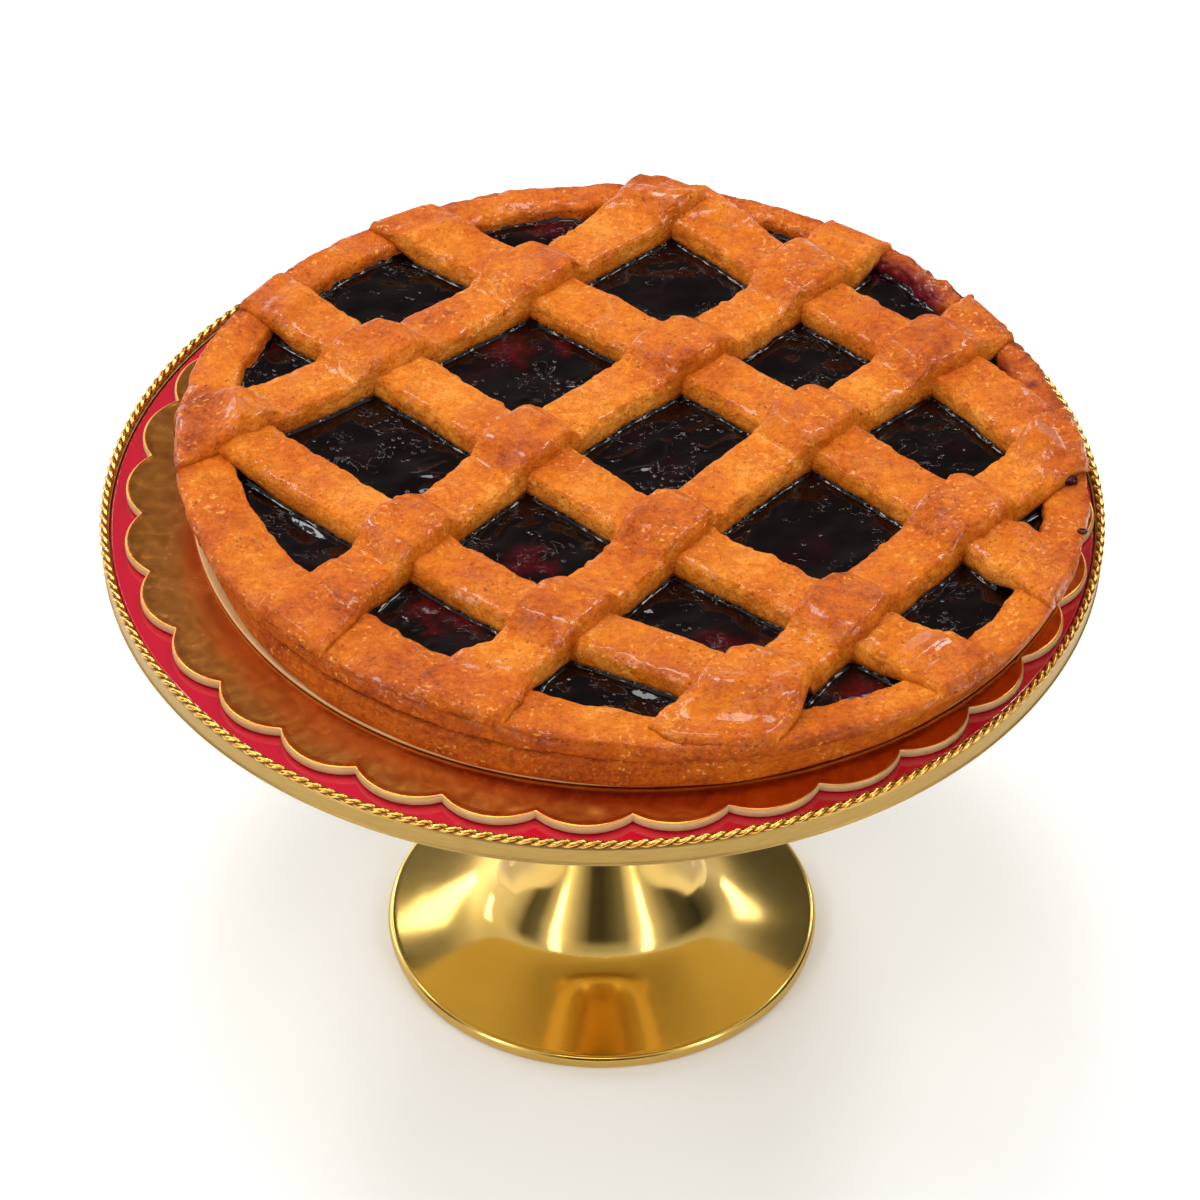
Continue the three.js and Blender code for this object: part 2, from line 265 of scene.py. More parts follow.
def grid_marks(grid, **marks):
    """Marks of a capped grid: each is spread over the grid, and its means on the two end rows are added
    for the middles of the fans."""
    spread = {name: np.broadcast_to(values, grid.shape[:2]) for name, values in marks.items()}
    return {
        name: np.concatenate([values.ravel(), [values[0].mean(), values[-1].mean()]])
        for name, values in spread.items()
    }


def turned(profile, columns, centre=(0, 0)):
    """A profile of (radius, height) points carried round the upright axis: (r cos a, r sin a, z)."""
    a = np.linspace(0, 2 * np.pi, columns, endpoint=False)
    radius, height = np.asarray(profile, float).T[..., None]
    return points_at(centre[0] + radius * np.cos(a), centre[1] + radius * np.sin(a), height)


def grid_normals(grid, wrap_rows=False):
    """Unit normals of a grid whose columns run round, from the cross product of its two directions."""
    along = np.roll(grid, -1, 0) - np.roll(grid, 1, 0) if wrap_rows else np.gradient(grid, axis=0)
    around = np.roll(grid, -1, 1) - np.roll(grid, 1, 1)
    normal = np.cross(around, along)
    return normal / np.maximum(np.linalg.norm(normal, axis=-1, keepdims=True), 1e-9)


# ---- shader tools ----
class Number:
    """A number socket of a node sheet. Arithmetic on it adds Math nodes."""

    def __init__(self, sheet, socket):
        self.sheet = sheet
        self.socket = socket

    def math(self, operation, *others):
        return self.sheet.number("ShaderNodeMath", {"operation": operation}, dict(enumerate(others)))

    def __add__(self, other):
        return self.math("ADD", self, other)

    def __sub__(self, other):
        return self.math("SUBTRACT", self, other)

    def __rsub__(self, other):
        return self.math("SUBTRACT", other, self)

    def __mul__(self, other):
        return self.math("MULTIPLY", self, other)

    __radd__ = __add__
    __rmul__ = __mul__

    def clipped(self):
        return self.math("MAXIMUM", self, 0.0).math_min(1.0)

    def size(self):
        """The number without its sign."""
        return self.math("ABSOLUTE", self)

    def math_min(self, other):
        return self.math("MINIMUM", self, other)

    def band(self, low, high):
        """0 at low, 1 at high, eased between them."""
        return self.ranged(low, high, 0.0, 1.0, "SMOOTHSTEP")

    def ranged(self, low, high, start, end, way="LINEAR"):
        """start at low, end at high."""
        inputs = {0: self, 1: low, 2: high, 3: start, 4: end}
        return self.sheet.number("ShaderNodeMapRange", {"interpolation_type": way}, inputs)


class Sheet:
    """The nodes of a material or of the sky."""

    def __init__(self, tree, coordinates):
        self.tree = tree
        self.place = self.node("ShaderNodeTexCoord").outputs[coordinates]

    def node(self, kind, settings=None, inputs=None):
        """Adds a node: its settings first (a ramp's stops as (place, colour) pairs), then its inputs."""
        made = self.tree.nodes.new(kind)
        for setting, value in (settings or {}).items():
            if setting == "stops":
                self.set_stops(made.color_ramp, value)
            else:
                setattr(made, setting, value)
        for socket, value in (inputs or {}).items():
            self.feed(made.inputs[socket], value)
        return made

    @staticmethod
    def set_stops(ramp, stops):
        """Places and colours of a ramp; a colour may be one number, for a grey."""
        for _ in stops[2:]:
            ramp.elements.new(0.5)
        for element, (place, colour) in zip(ramp.elements, stops):
            element.position = place
            element.color = (*(colour if isinstance(colour, tuple) else (colour,) * 3), 1)

    def feed(self, socket, value):
        if isinstance(value, Number):
            value = value.socket
        if isinstance(value, bpy.types.NodeSocket):
            self.tree.links.new(value, socket)
        else:
            socket.default_value = value

    def number(self, kind, settings=None, inputs=None, output=0):
        return Number(self, self.node(kind, settings, inputs).outputs[output])

    def ramp(self, share, stops):
        return self.node("ShaderNodeValToRGB", {"stops": stops}, {0: share}).outputs[0]

    def blend(self, share, a, b):
        """A colour between a and b."""
        colours = [(*c, 1) if isinstance(c, tuple) else c for c in (a, b)]
        inputs = {0: share, 6: colours[0], 7: colours[1]}
        return self.node("ShaderNodeMix", {"data_type": "RGBA"}, inputs).outputs[2]


class Finish(Sheet):
    """A procedural material with one Principled shader."""

    def __init__(self, name, **constants):
        self.material = bpy.data.materials.new(name)
        self.material.use_nodes = True
        super().__init__(self.material.node_tree, "Object")
        self.shader = self.tree.nodes["Principled BSDF"]
        for socket, value in constants.items():
            self.shader.inputs[socket.replace("_", " ")].default_value = value

    def mark(self, name):
        """A number stored at the piece's points."""
        return self.number("ShaderNodeAttribute", {"attribute_name": name}, output="Fac")

    def stretched(self, scale):
        """The place on the object, with each axis multiplied."""
        return self.node("ShaderNodeMapping", {}, {"Vector": self.place, "Scale": scale}).outputs[0]

    def grain(self, size, detail=2.0, roughness=0.5, place=None, twist=0.0):
        """Noise from 0 to 1, with features of a size in millimetres."""
        inputs = {
            "Vector": place or self.place, "Scale": 1 / (size * MM), "Detail": detail,
            "Roughness": roughness, "Distortion": twist,
        }
        return self.number("ShaderNodeTexNoise", {}, inputs)

    def cells(self, size):
        """Distance to the nearest of many scattered points, in cells of a size in millimetres."""
        inputs = {"Vector": self.place, "Scale": 1 / (size * MM)}
        return self.number("ShaderNodeTexVoronoi", {"feature": "F1"}, inputs, "Distance")

    def bump(self, height, distance, strength=1.0, normal=None):
        """A normal for a height in parts of distance, in millimetres."""
        inputs = {"Height": height, "Distance": distance * MM, "Strength": strength}
        if normal is not None:
            inputs["Normal"] = normal
        return self.node("ShaderNodeBump", {}, inputs).outputs[0]

    def finish(self, **sockets):
        for socket, value in sockets.items():
            self.feed(self.shader.inputs[socket.replace("_", " ")], value)
        return self.material


def srgb(red, green, blue):
    """Linear light of a colour given in 0 to 255 as a screen shows it."""
    share = np.array([red, green, blue]) / 255
    linear = np.where(share < 0.04045, share / 12.92, ((share + 0.055) / 1.055) ** 2.4)
    return tuple(float(c) for c in linear)


# ---- finishes ----
def baked_crust():
    """Glazed shortcrust: golden where pale, brown where its browning mark is high, freckled, with a patchy
    egg glaze, fine wrinkles, pits, and red stains where the mark stain is high. Painted light and shade:
    small golden glints, thin pale highlight lines along the creases, pits painted darker, and, through the
    browning mark, paler crests and darker grooves on the strips' flutes."""
    f = Finish("baked_crust", IOR=1.26, Coat_Roughness=0.1, Coat_IOR=1.42)
    bake = f.mark("bake")
    glaze = f.mark("glaze")
    clouds = f.grain(26, 3, 0.55)
    mottles = f.grain(5, 4, 0.7)
    fine = f.grain(1.3, 3, 0.6)
    tone = (bake * 0.8 + clouds * 0.9 + mottles * 0.75 + fine * 0.6 - 0.98).clipped()
    colour = f.ramp(tone, [
        (0.0, srgb(234, 148, 52)), (0.3, srgb(209, 114, 17)), (0.55, srgb(191, 90, 7)),
        (0.8, srgb(157, 64, 5)), (1.0, srgb(102, 37, 5)),
    ])
    # Painted glints: small bright golden specks blended into the colour.
    painted_sparkle = f.grain(1.6, 2, 0.5, place=f.stretched((1, 1, 1.2))).band(0.58, 0.7)
    colour = f.blend(painted_sparkle * f.grain(12, 2).band(0.45, 0.6) * 0.5, colour, srgb(252, 184, 92))
    specks = f.grain(0.9, 2, 0.5).band(0.6, 0.7) * f.grain(7, 2).band(0.35, 0.6)
    colour = f.blend(specks * 0.6, colour, srgb(146, 52, 8))
    bent = f.grain(21, 1, 0.5, twist=0.5)
    thin = 1 - (bent - 0.52).size().band(0.0, 0.012)
    lines = thin * f.grain(18, 2).band(0.5, 0.62) * f.mark("creased")
    # Painted highlight: the thin crease lines are blended towards pale gold in the colour; they also bump
    # the surface and add glaze.
    colour = f.blend(lines * 0.16, colour, srgb(240, 168, 88))
    shaded_pits = 1 - f.cells(2.6).band(0.1, 0.22)
    # Painted shade: the pits are blended towards dark brown.
    colour = f.blend(shaded_pits * f.grain(9, 2).band(0.52, 0.62) * 0.5, colour, srgb(104, 42, 12))
    colour = f.blend(f.mark("stain") * (0.6 + f.grain(2.5, 3) * 0.6), colour, srgb(104, 12, 24))
    wrinkles = f.grain(3.4, 5, 0.65, twist=1.4)
    crumb = f.grain(0.9, 3, 0.6)
    facets = f.cells(8).band(0.05, 0.75) * f.grain(15, 2).band(0.4, 0.6)
    coarse = f.bump(wrinkles - facets * 0.3 + lines * 0.2, 1.1)
    normal = f.bump(crumb - shaded_pits * 0.7, 0.3, normal=coarse)
    shine = (glaze * f.grain(7, 3, 0.65).band(0.46, 0.58) + lines * 0.5).clipped()
    return f.finish(Base_Color=colour, Roughness=0.6 - shine * 0.2, Coat_Weight=shine, Normal=normal)


def cherry_jam():
    """Dark cherry jam: near black, wet, with clusters of small bubbles and a few thin threads, and deep red
    where the mark fruit says that fruit lies near the surface."""
    f = Finish("cherry_jam", IOR=1.36, Roughness=0.05)
    flesh = f.grain(2.6, 4, 0.7, twist=1.5)
    fruit = (f.mark("fruit") * (flesh * 2.2 - 0.45)).clipped()
    colour = f.blend(fruit + f.grain(15, 3).band(0.5, 0.8) * 0.12, srgb(9, 3, 3), srgb(72, 4, 11))
    clusters = f.grain(10, 2).band(0.56, 0.66)
    bubbles = (1 - f.cells(2.3).band(0.0, 0.4)) * clusters
    bent = f.grain(7, 2, 0.5, twist=1.2)
    threads = (1 - (bent - 0.5).size().band(0.0, 0.03)) * f.grain(13, 2).band(0.52, 0.62)
    broad = f.bump(threads * 0.14 + bent * 0.16 + f.mark("fruit") * flesh * 0.14, 1.0, 0.9)
    return f.finish(Base_Color=colour, Normal=f.bump(bubbles, 0.5, 0.9, normal=broad))


def red_enamel():
    """Glossy raspberry enamel with a slight pooled waviness."""
    f = Finish("red_enamel", IOR=1.5, Coat_Weight=1.0, Coat_Roughness=0.03)
    colour = f.blend(f.grain(40, 2), srgb(170, 1, 32), srgb(186, 3, 41))
    return f.finish(Base_Color=colour, Roughness=0.12, Normal=f.bump(f.grain(14, 2), 0.5, 0.1))


def polished_gold():
    """Mirror-polished gold, faintly smeared in colour and gloss, with a faint waviness."""
    f = Finish("polished_gold", Metallic=1.0)
    smears = f.grain(30, 3, 0.6)
    colour = f.blend(smears, srgb(204, 162, 76), srgb(226, 192, 112))
    normal = f.bump(f.grain(45, 2), 0.6, 0.2)
    return f.finish(Base_Color=colour, Roughness=0.06 + smears * 0.09, Normal=normal)


def rope_gold():
    """Gold of the twisted rope: duller, and painted dark brown as shade, between the strands, where the mark
    crest is low.
    """
    f = Finish("rope_gold", Metallic=1.0)
    crest = f.mark("crest").band(0.0, 0.6)
    # Painted shade: dark brown between the strands, where the crest is low.
    colour = f.blend(crest, srgb(92, 48, 12), srgb(226, 168, 78))
    return f.finish(Base_Color=colour, Roughness=0.42 - crest * 0.26, Normal=f.bump(f.grain(1.2, 2), 0.12))


def band_gold():
    """Brushed, muted gold of the plate's edge, with long fine lines round it, and the mark satin where the
    plate's underside is paler."""
    f = Finish("band_gold", Metallic=1.0)
    satin = f.mark("satin")
    lines = f.grain(6, 3, 0.6, place=f.stretched((1, 1, 14)))
    colour = f.blend(lines, srgb(150, 118, 58), srgb(188, 156, 92))
    colour = f.blend(satin, colour, srgb(192, 172, 114))
    return f.finish(
        Base_Color=colour, Roughness=0.34 + lines * 0.12 - satin * 0.22, Normal=f.bump(lines, 0.08, 0.5)
    )


def gold_foil():
    """Gold foil, faintly clouded, wrinkled near the scallops. The mark cut is 1 on the card's bare edge, and
    the mark relief says how deep the foil is wrinkled."""
    f = Finish("gold_foil")
    cut = f.mark("cut")
    leaf = f.grain(6, 4, 0.55, twist=1.0)
    flecks = f.grain(1.6, 3, 0.6, twist=1.0)
    foil = f.blend(leaf.band(0.35, 0.65), srgb(202, 122, 50), srgb(216, 138, 62))
    card = f.blend(f.grain(3, 3), srgb(208, 176, 122), srgb(230, 202, 146))
    emboss = f.bump((leaf * 0.5 + flecks * 0.3) * f.mark("relief"), 0.18)
    return f.finish(
        Base_Color=f.blend(cut, foil, card), Metallic=1 - cut, Normal=emboss,
        Roughness=0.22 + leaf * 0.08 + cut * 0.4,
    )


CRUST = baked_crust()
JAM = cherry_jam()
ENAMEL = red_enamel()
GOLD = polished_gold()
ROPE = rope_gold()
BAND = band_gold()
FOIL = gold_foil()


# ---- cake stand ----
def stand_foot():
    """Foot, stem and collar: a smooth profile turned about the axis."""
    top = levels("stand_foot")[1]
    edge_height = 4.4
    stem = 12.5
    corner = [(FOOT_RADIUS - 1.4, 0), (FOOT_RADIUS - 0.3, 0.4), (FOOT_RADIUS, 1.4)]
    roll = [(FOOT_RADIUS, 3), (FOOT_RADIUS - 0.5, 4), (FOOT_RADIUS - 1.4, edge_height)]
    cone = [(FOOT_RADIUS - 2.6, 4.5), (58, 5.9), (50, 7.7), (43, 9.6), (38, 11.4), (34.6, 13.3), (31.6, 16)]
    shaft = [
        (28.5, 19.8), (24, 27), (19.5, 36.5), (16, 45), (14.4, 53), (stem + 0.7, 70), (stem, 95),
        (stem + 1, 125), (stem + 4.5, 145),
    ]
    collar = [(stem + 14, 157), (stem + 25, top)]
    side = rounded_chain(np.array(corner + roll + cone + shaft + collar, float), 10)
    profile = np.concatenate([[(40, 0)], side, [(20, top)]])
    add_piece("gold_foot", capped(turned(profile, 192)), GOLD, ["stand_foot"])


def stand_plate():
    """Plate: flat underside, upright band with a fine bead at its lower edge, and a bed for the enamel."""
    bottom, top = levels("stand_plate")
    band = 6.5
    under = top - band
    bed = levels("enamel_disc")[0] - 0.3
    edge = PLATE_RADIUS
    profile = [
        (60, bottom), (128, bottom), (edge - 2.6, under), (edge - 0.7, under), (edge - 0.1, under + 0.25),
        (edge - 0.05, under + 0.8), (edge - 0.45, under + 1.05), (edge - 0.45, top - 0.6),
        (edge - 0.7, top - 0.1), (edge - 1, top), (ENAMEL_RADIUS + 0.3, top), (ENAMEL_RADIUS + 0.3, bed),
        (60, bed),
    ]
    grid = turned(doubled_corners(np.array(profile, float), 0.12), 288)
    marks = grid_marks(grid, satin=(grid[..., 2] < under + 0.1).astype(float))
    add_piece("plate_band", capped(grid), BAND, ["stand_plate"], marks)


def doubled_corners(profile, inset):
    """Every corner of a profile is replaced by two points a little before it and two after it, so that
    smooth shading bends only between them and keeps the faces flat."""
    before, here, after = profile[:-2], profile[1:-1], profile[2:]

    def towards(other, times):
        step = other - here
        length = np.linalg.norm(step, axis=1, keepdims=True)
        return here + step / length * np.minimum(inset * times, length * times / 5)

    fours = np.stack([towards(before, 2), towards(before, 1), towards(after, 1), towards(after, 2)], 1)
    return np.concatenate([profile[:1], fours.reshape(-1, 2), profile[-1:]])


def enamel_disc():
    bottom, top = levels("enamel_disc")
    r = ENAMEL_RADIUS
    profile = [(60, bottom), (r, bottom), (r, top - 0.35), (r - 0.5, top), (120, top), (60, top)]
    tight = doubled_corners(np.array(profile, float), 0.12)
    add_piece("enamel_top", capped(turned(tight, 256)), ENAMEL, ["enamel_disc"])


def rope_ring():
    """Two round strands twisted round each other: on the ring at angle s, the section's radius at angle a
    is a base plus a crest that follows cos(2 a - half turns s), so that the crests wind along the ring."""
    ring_radius = 149.1
    middle = sum(levels("rope_ring")) / 2
    base, crest = 0.98, 0.3
    half_turns = 212
    s = np.linspace(0, 2 * np.pi, half_turns * 10, endpoint=False)[:, None]
    a = np.linspace(0, 2 * np.pi, 16, endpoint=False)[None, :]
    lay = np.cos(2 * a - half_turns * s)
    around = points_at(np.cos(s) * 40 + a * 0, np.sin(s) * 40 + a * 0)
    thickness = base + crest * np.sign(lay) * np.abs(lay) ** 0.8 + 0.08 * noise(around, 0.7, 5)
    radius = ring_radius + thickness * np.cos(a) * 1.1
    grid = np.stack([radius * np.cos(s), radius * np.sin(s), middle + thickness * np.sin(a)], -1)
    quads = grid_quads(*grid.shape[:2], wrap_rows=True)
    skin = grid.reshape(-1, 3), quads, np.zeros((0, 3), int)
    # crest: 1 on the strands' crests, 0 between them; the rope's finish paints shade where it is low.
    marks = {"crest": 0.5 + 0.5 * lay}
    add_piece("twisted_rope", skin, ROPE, ["rope_ring"], marks)


# ---- cards ----
def scallop_radius(a):
    """Distance of the board's edge from its centre in direction a: circular arcs between the notches."""
    step = 2 * np.pi / BOARD_SCALLOPS
    half_chord = BOARD_RADIUS * math.sin(step / 2)
    chord_at = BOARD_RADIUS * math.cos(step / 2)
    rise = BOARD_RADIUS + SCALLOP_DEPTH - chord_at
    arc = (half_chord**2 + rise**2) / (2 * rise)
    arc_at = BOARD_RADIUS + SCALLOP_DEPTH - arc
    off = (a - math.radians(SCALLOP_TURN) + step * 1000) % step - step / 2
    return arc_at * np.cos(off) + np.sqrt(arc**2 - (arc_at * np.sin(off)) ** 2)


def scalloped_board():
    """Card with foil on top: rows run from the middle of the underside, up the cut edge, to the middle of
    the top, where the foil rolls over the edge and is wrinkled near it."""
    bottom, top = levels("scalloped_board")
    columns = BOARD_SCALLOPS * 24
    a = np.linspace(0, 2 * np.pi, columns, endpoint=False)[None, :] + math.radians(SCALLOP_TURN)
    edge = scallop_radius(a)
    thick = 2.9
    inset = np.array([100, 0.3, 0, 0, 0.05, 0.25, 0.7, 1.3, *np.linspace(2, 34, 54), 60, 100])[:, None]
    height = np.array([0, 0, 0.25, 2.3, 2.6, 2.85] + [thick] * 58)[:, None]
    cut = np.array([1, 1, 1, 1, 0.6] + [0] * 59)[:, None]
    scallop_share = np.clip(1 - inset / 30, 0, 1)
    radius = (edge - BOARD_RADIUS) * scallop_share**2 + BOARD_RADIUS - inset
    x = BOARD_CENTRE[0] + radius * np.cos(a)
    y = BOARD_CENTRE[1] + radius * np.sin(a)
    place = points_at(x, y)
    near_edge = ease(26, 4, inset) * ease(0.6, 2, inset)
    around = points_at(a * BOARD_RADIUS, inset * 0.35)
    crumple = 0.22 * noise(around, 2.7, 21) * ease(9, 3, inset) + 0.06 * layered(place, 7, 22)
    z = bottom + height * (top - bottom) / thick - 0.25 * near_edge
    grid = points_at(x, y, z + crumple * near_edge * (height > thick - 0.1))
    marks = grid_marks(grid, cut=cut, relief=0.022 + 0.3 * ease(14, 2, inset))
    add_piece("foil_board", capped(grid), FOIL, ["scalloped_board"], marks)


def round_card():
    bottom, top = levels("round_card")
    r = reach("round_card")
    edge = [(r - 0.1, bottom), (r, bottom + 0.2), (r, top - 0.2), (r - 0.2, top)]
    profile = [(60, bottom), *edge, (60, top)]
    grid = turned(doubled_corners(np.array(profile, float), 0.08), 256, CARD_CENTRE)
    marks = grid_marks(grid, cut=0.75, relief=0.1)
    add_piece("thin_card", capped(grid), FOIL, ["round_card"], marks)


# ---- pie: shared heights ----
def outline(shape, turn):
    """Radius of a wavy outline in direction turn."""
    mean, waves = shape
    return mean + sum(size * np.cos(count * turn - math.radians(peak)) for count, size, peak in waves)


def round_about(turn, radius=130):
    """Places on a circle, for noise that closes on itself."""
    return points_at(np.cos(turn) * radius, np.sin(turn) * radius)


def outer_edge(turn):
    """The rim's outer edge: its outline, torn a little, and more so at the back right."""
    flaky = 0.7 + 1.1 * np.exp(-((np.cos(turn - FLAKY_TOWARDS) - 1) ** 2) / 0.02)
    return outline(OUTER_OUTLINE, turn) + 0.8 * flaky * layered(round_about(turn), 17, 31, 4, 0.55)


def inner_edge(turn):
    return outline(INNER_OUTLINE, turn) + 1.2 * layered(round_about(turn), 15, 32, 3)


def base_edge(turn):
    return outline(BASE_OUTLINE, turn) + 0.7 * layered(round_about(turn), 40, 35, 3)


def crest_level(turn):
    return RIM_CREST + 0.55 * noise(round_about(turn), 33, 33)


# The rim's top: share of the way from its inner to its outer edge, and depth below the crest.
RIM_SHARES = (0, 0.14, 0.45, 0.75, 0.93, 1)
RIM_DEPTHS = (1.7, 0.8, 0.2, 0, 0.2, 1.1)


def from_centre(x, y):
    """Distance and direction from the pie's centre, and the inner and outer edge in that direction."""
    dx, dy = x - PIE_CENTRE[0], y - PIE_CENTRE[1]
    turn = np.arctan2(dy, dx)
    return np.hypot(dx, dy), turn, inner_edge(turn), outer_edge(turn)


def bed_height(x, y):
    """Level of what the strips lie on: the jam, a slope up to the rim, and the rim itself."""
    distance, turn, inner, outer = from_centre(x, y)
    crest = crest_level(turn)
    slope = mix(JAM_TOP, crest - RIM_DEPTHS[0], ease(inner - 11, inner + 0.5, distance))
    on_rim = crest - np.interp((distance - inner) / (outer - inner), RIM_SHARES, RIM_DEPTHS)
    return np.where(distance < inner, slope, on_rim)


def rim_share(x, y):
    """0 on the jam, 1 on the rim."""
    distance, _, inner, _ = from_centre(x, y)
    return ease(inner - 5, inner + 6, distance)


def middle_line(points):
    """The strip's middle line in steps of 1: a smooth curve through its points, and straight on past both
    ends. Returns places and distances, which are nought at the first point."""
    line, along = even_steps(rounded_chain(np.array(points, float), 40), 1.0)
    past = np.arange(1, PAST_ENDS + 1)[:, None]
    before = line[0] + (line[0] - line[1]) * past[::-1]
    after = line[-1] + (line[-1] - line[-2]) * past
    step = along[1]
    first, last = -step * past[::-1, 0], along[-1] + step * past[:, 0]
    return np.concatenate([before, line, after]), np.concatenate([first, along, last])


def strip_width(widths, s, length):
    """Width between the ends, blended into the widths pressed onto the rim at both ends."""
    start, between, end = widths
    at_start, at_end = 1 - ease(*FLARE, s), 1 - ease(*FLARE, length - s)
    return between + (start - between) * at_start + (end - between) * at_end


def distance_to_line(x, y, line):
    """Distance of each place to the nearest point of a line, found in blocks to save memory."""
    flat = np.stack([np.ravel(x), np.ravel(y)], 1)
    nearest = np.concatenate([
        np.sqrt(((block[:, None, :] - line[None, ::2]) ** 2).sum(-1).min(1))
        for block in np.array_split(flat, max(1, len(flat) // 20000))
    ])
    return nearest.reshape(np.shape(x))


LINES = {name: middle_line(points)[0] for name, (_, points) in STRIPS.items()}


def over_lower(x, y, inside=2.5, outside=8.5):
    """1 well over a lower strip, 0 clear of it, eased across its edges."""
    most = np.zeros(np.shape(x))
    for name, (widths, _) in LOWER_STRIPS.items():
        half = widths[1] / 2
        away = distance_to_line(x, y, LINES[name])
        most = np.maximum(most, 1 - ease(half - inside, half + outside, away))
    return most


# ---- crust and filling ----
def crust_relief(points, seed):
    """Height of the crust's own unevenness: soft swells, dents, creases, and fine wrinkles."""
    swells = 0.4 * noise(points, 15, seed)
    dents = 0.38 * layered(points, 6, seed + 1, 2)
    bent = points + 2 * noise(points, 9, seed + 4)[..., None]
    creased = ease(-0.1, 0.5, noise(points, 25, seed + 5))
    creases = 0.3 * ease(0.8, 1, ridged(bent, 12, seed + 2)) * creased
    fine = 0.17 * layered(points, 2.4, seed + 3, 2)
    return swells + dents - creases + fine


# Jam boiled over onto the rim: place, and how far it spread.
STAINS = (
    (82, 96, 7), (89, 89, 8), (95, 82, 8), (100, 75, 6), (114, 56, 5), (120, 44, 5), (130, 34, 2.2),
    (137, -12, 4.5), (141.5, -35.5, 2.6),
)


def crust_shell():
    """The crust: control points of the section in each direction, joined by a smooth curve, then pushed in
    and out along its normals by the relief."""
    turn = np.linspace(0, 2 * np.pi, 900, endpoint=False)
    base, inner, outer, crest = base_edge(turn), inner_edge(turn), outer_edge(turn), crest_level(turn)
    low, wide = PIE_BOTTOM, outer - inner
    parted = 1.2 + 1.6 * ease(0.3, 0.9, np.cos(turn - PARTED_TOWARDS))
    parted = parted + 0.5 * noise(round_about(turn), 30, 34)

    def wall(share, inset, height):
        return mix(base, outer, share) - inset, low + height

    def rim(share, depth):
        return inner + share * wide, crest - depth

    section = [
        wall(0, 30, 0), wall(0, 6, 0), wall(0, 1.3, 0), wall(0, 0.3, 1.1), wall(0, 0, 3.4),
        wall(0.15, 0.3, 6), wall(0.3, 0.5, 8), wall(0.4, 0.3 + 0.8 * parted, 8.9),
        wall(0.5, parted, 9.2), wall(0.6, 0.4, 9.9), wall(0.82, 0, 11.6), rim(0.995, 2.3), rim(1, 1.3),
        rim(0.985, 0.5), rim(0.93, 0.2), rim(0.75, 0), rim(0.45, 0.2), rim(0.16, 0.8),
        (inner + 0.2, crest - 1.7), (inner - 0.5, JAM_TOP + 1.2), (inner - 1, JAM_TOP - 2),
        (inner - 3, low + FLOOR_THICKNESS + 1),
        (inner - 20, low + FLOOR_THICKNESS),
    ]
    control = np.array([np.stack(np.broadcast_arrays(r, z), 1) for r, z in section])
    smooth = rounded_chain(control, 5)
    r, z = smooth[..., 0], smooth[..., 1]
    x = PIE_CENTRE[0] + r * np.cos(turn)
    y = PIE_CENTRE[1] + r * np.sin(turn)
    grid = np.stack([x, y, z], -1)
    normal = grid_normals(grid)
    shown = ease(low + 0.3, low + 2, z) * ease(-4, 0, r - inner + 1)
    on_wall = 1 - ease(low + 11.5, low + 14.5, z)
    layers = 0.16 * layered(grid * (1, 1, 5), 9, 61, 3) * on_wall
    back_right = np.exp(-((turn - FLAKY_TOWARDS) ** 2) / 0.25) * (1 - 0.5 * on_wall)
    flakes = (0.8 * layered(grid, 5.5, 62, 3, 0.6) - 0.5 * ease(0.6, 1, ridged(grid, 9, 63))) * back_right
    grid = grid + normal * ((crust_relief(grid, 40) + layers + flakes) * shown)[..., None]
    edge = ease(-3.5, -0.5, r - outer)
    bake = 0.42 + 0.06 * on_wall + 0.2 * edge + 0.16 * noise(grid, 24, 45)
    bake = bake + (0.35 * ease(-9, -1, r - outer) - 0.3 * flakes) * back_right
    glaze = (1 - on_wall) * (0.5 + 0.5 * noise(grid, 20, 46))
    stain = sum(
        np.exp(-(((x - sx) ** 2 + (y - sy) ** 2) / size**2)) for sx, sy, size in STAINS
    ) * ease(-1, -4, r - outer)
    marks = grid_marks(grid, bake=bake, glaze=glaze, stain=stain, creased=1 - on_wall)
    add_piece("pie_crust", capped(grid), CRUST, ["crust_shell"], marks)


def strip_clearance(x, y):
    """Distance from each place to the nearest edge of a strip or of the rim, nought under them."""
    distance, _, inner, _ = from_centre(x, y)
    nearest = inner - distance
    for name, (widths, _) in STRIPS.items():
        nearest = np.minimum(nearest, distance_to_line(x, y, LINES[name]) - widths[1] / 2)
    return np.maximum(nearest, 0)


# Fruit near the jam's surface: place and size.
FRUIT = (
    (-22, -42, 6), (-15, -46, 3), (34, -81, 7), (44, -83, 4), (-16, 122, 7), (-39.5, -69, 5.5),
    (-50, -65, 5), (-49, -73, 3), (-27, 57, 6), (-12, 59, 3.5), (117, 52, 4), (70, -102, 5), (77, -100, 4),
    (86, 97, 5), (118, 18, 4), (-102, 62, 4), (-93, 97, 3),
)


def side_waver(s, way, seed):
    """How far a strip's side at distance s strays from its even width."""
    at = points_at(s, 10.0 * seed)
    own = 0 if way > 0 else 2
    return 0.6 * noise(at, 15, seed + own) + 0.35 * noise(at, 4.2, seed + 1 + own)


